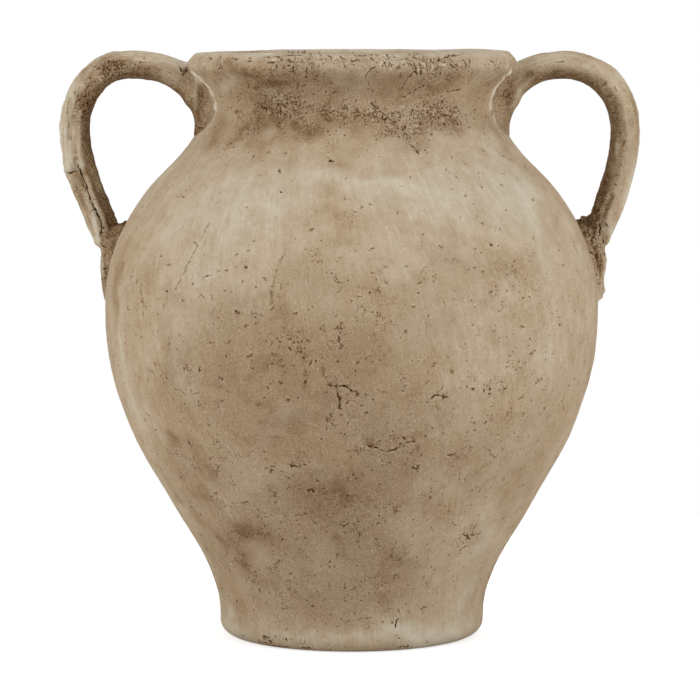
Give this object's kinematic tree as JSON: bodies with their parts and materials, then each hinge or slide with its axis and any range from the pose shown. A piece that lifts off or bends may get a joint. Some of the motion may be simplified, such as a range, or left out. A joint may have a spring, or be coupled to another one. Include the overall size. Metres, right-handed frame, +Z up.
{
  "type": "handled vase",
  "caption": "Wide-bellied unglazed clay vase with a narrow foot, a short neck, a flared rim and a rolled loop handle on each side, for branches, flowers or display.",
  "frame": {"origin": "centre of the foot's resting face", "axes": "+Z up along the jar's axis, X through both handles with the left handle at -X, -Y towards the front"},
  "size_m": [0.3466, 0.2944, 0.3507],
  "materials": {
    "clay_wall": "unglazed tan earthenware, matte, brushed, pitted and stained with age",
    "clay_neck": "unglazed tan earthenware, matte, with a dark earthy wash under the lip",
    "clay_handle": "unglazed tan earthenware, matte, rolled by hand, with cracks and pale worn crests"
  },
  "bodies": {
    "root": {"foot_slab": "clay_wall", "lower_wall": "clay_wall", "shoulder_wall": "clay_wall", "neck_collar": "clay_neck", "rim_coil": "clay_neck", "left_handle": "clay_handle", "right_handle": "clay_handle", "left_neck_pad": "clay_handle", "right_neck_pad": "clay_handle", "left_shoulder_pad": "clay_handle", "right_shoulder_pad": "clay_handle"}
  },
  "joints": []
}
